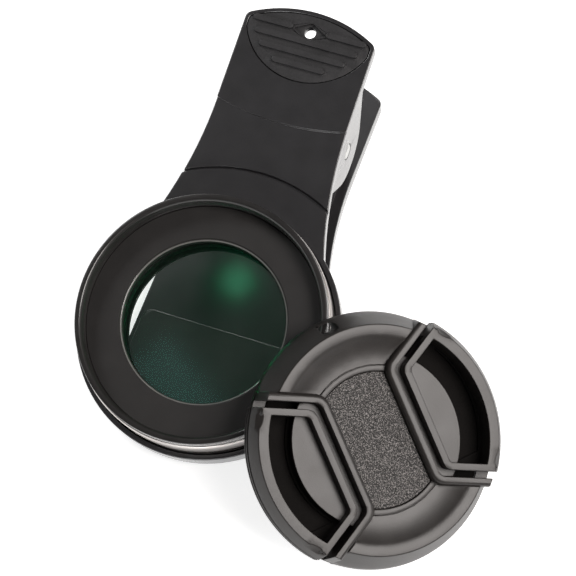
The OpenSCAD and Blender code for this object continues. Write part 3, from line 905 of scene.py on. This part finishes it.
class CLIPLENS_OT_studio(LensOperator):
    """Set up the white table, the lamps and the camera"""

    bl_idname = "cliplens.studio"
    bl_label = "Studio"

    def execute(self, context):
        studio = self.group(context, "studio")
        scene = context.scene
        scene.view_settings.view_transform = "Standard"
        self.table()
        self.sky(scene)
        self.camera(scene, studio)
        self.lamps(studio)
        return {"FINISHED"}

    def table(self):
        """A pale table that gloss and glass see as white, and that keeps the object's shadow."""
        bpy.ops.object.select_all(action="DESELECT")
        bpy.ops.mesh.primitive_plane_add(size=4, location=(0, 0, 0))
        table = bpy.context.active_object
        table.name = "white_table"
        material, start = new_material("white_table")
        seen, glossy, through = ray_kinds(start)
        paper = start.node("ShaderNodeBsdfDiffuse", None, {"Color": (0.8, 0.8, 0.8, 1.0)})
        glow = start.node("ShaderNodeEmission", None, {"Color": WHITE, "Strength": 0.8})
        lit = start.node("ShaderNodeAddShader", None, {0: paper, 1: glow})
        close_material(start, start.node("ShaderNodeMixShader", None, {
            0: seen + glossy + through, 1: paper, 2: lit,
        }))
        table.data.materials.append(material)

    def sky(self, scene):
        """White for the camera and level reflections, darker overhead as under a dim ceiling."""
        world = bpy.data.worlds.new("studio_sky")
        scene.world = world
        world.use_nodes = True
        tree = world.node_tree
        tree.nodes.clear()
        start = Wire(tree)
        seen, glossy, through = ray_kinds(start)
        where = start.node("ShaderNodeTexCoord", output="Generated")
        height = where.node("ShaderNodeSeparateXYZ", None, {0: where}, output="Z")
        overhead = height.smooth_step(0.0, 0.22)
        ambient = 0.15
        shown = seen + through + glossy * (1 - overhead * 0.94)
        strength = shown + (1 - (seen + glossy + through)) * ambient
        glow = start.node("ShaderNodeBackground", None, {"Color": WHITE, "Strength": strength})
        start.node("ShaderNodeOutputWorld", None, {"Surface": glow})

    def camera(self, scene, studio):
        """The camera at the photograph's angle and distance."""
        bpy.ops.object.camera_add()
        camera = bpy.context.active_object
        camera.name = "camera"
        camera.data.sensor_width = 36
        camera.data.lens = studio.focal
        camera.matrix_world = aim_camera(studio)
        camera.data.clip_start = 0.01
        scene.camera = camera

    def lamps(self, studio):
        """A key lamp, a big softbox that the cap's face mirrors, and small lamps for one group each."""
        target = Vector(studio.target)
        key_spot = target + Vector((-0.72, 0.28, 0.63)) * 0.6
        key_lamp = area_lamp("key_lamp", key_spot, target, (0.2, 0.2), studio.key_power)
        unlit = bpy.data.collections[KEY_UNLIT]
        for member in unlit.collection_objects:
            member.light_linking.link_state = "EXCLUDE"
        key_lamp.light_linking.receiver_collection = unlit
        softbox_spot = target + Vector((0.643, -0.044, 0.765)) * 0.75
        warm = (1.0, 0.95, 0.92)
        area_lamp("cap_softbox", softbox_spot, target, (0.42, 0.42), studio.fill_power, warm)

        def group_lamp(name, group, way, width, power, colour=(1, 1, 1)):
            lamp = area_lamp(name, target + Vector(way), target, width, power, colour)
            lamp.light_linking.receiver_collection = bpy.data.collections[group]
            return lamp

        front_way, rear_way = (0.03, -0.528, 0.282), (-0.1, 0.455, 0.17)
        group_lamp("front_lamp", FRONT_LIT, front_way, (0.2, 0.2), studio.front_power)
        rear_lamp = group_lamp("rear_lamp", REAR_LIT, rear_way, (0.08, 0.08), studio.jaw_power)
        rear_lamp.light_linking.blocker_collection = bpy.data.collections[REAR_LIT]
        glint_way, side_way = (-0.086, 0.052, 0.495), (-0.122, -0.178, 0.425)
        group_lamp("glass_lamp", GLASS_LIT, glint_way, (0.05, 0.05), studio.glint_power)
        side_power = studio.glint_power * 2.5
        rose = (1, 0.4, 0.75)
        group_lamp("glass_side_lamp", GLASS_LIT, side_way, (0.2, 0.1), side_power, rose)


STEPS = (
    CLIPLENS_OT_arms,
    CLIPLENS_OT_finger_pads,
    CLIPLENS_OT_jaw_pads,
    CLIPLENS_OT_hinge,
    CLIPLENS_OT_barrel,
    CLIPLENS_OT_front_ring,
    CLIPLENS_OT_glass,
    CLIPLENS_OT_cap,
    CLIPLENS_OT_studio,
)


class CLIPLENS_PT_tools(bpy.types.Panel):
    """The sidebar list of pieces."""

    bl_label = "Clip Lens"
    bl_idname = "CLIPLENS_PT_tools"
    bl_space_type = "VIEW_3D"
    bl_region_type = "UI"
    bl_category = "Clip Lens"

    def draw(self, context):
        for step in STEPS:
            self.layout.operator(step.bl_idname)


def register():
    for group in GROUPS.values():
        bpy.utils.register_class(group)
    for name, group in GROUPS.items():
        setattr(bpy.types.Scene, name, PointerProperty(type=group))
    for step in STEPS:
        bpy.utils.register_class(step)
    bpy.utils.register_class(CLIPLENS_PT_tools)


def unregister():
    bpy.utils.unregister_class(CLIPLENS_PT_tools)
    for step in reversed(STEPS):
        bpy.utils.unregister_class(step)
    for name, group in reversed(list(GROUPS.items())):
        delattr(bpy.types.Scene, name)
        bpy.utils.unregister_class(group)


def run_step(step):
    """Calls an operator through bpy.ops by its own name."""
    group, name = step.bl_idname.split(".")
    getattr(getattr(bpy.ops, group), name)()


def main():
    register()
    for step in STEPS:
        run_step(step)


if __name__ == "__main__":
    main()
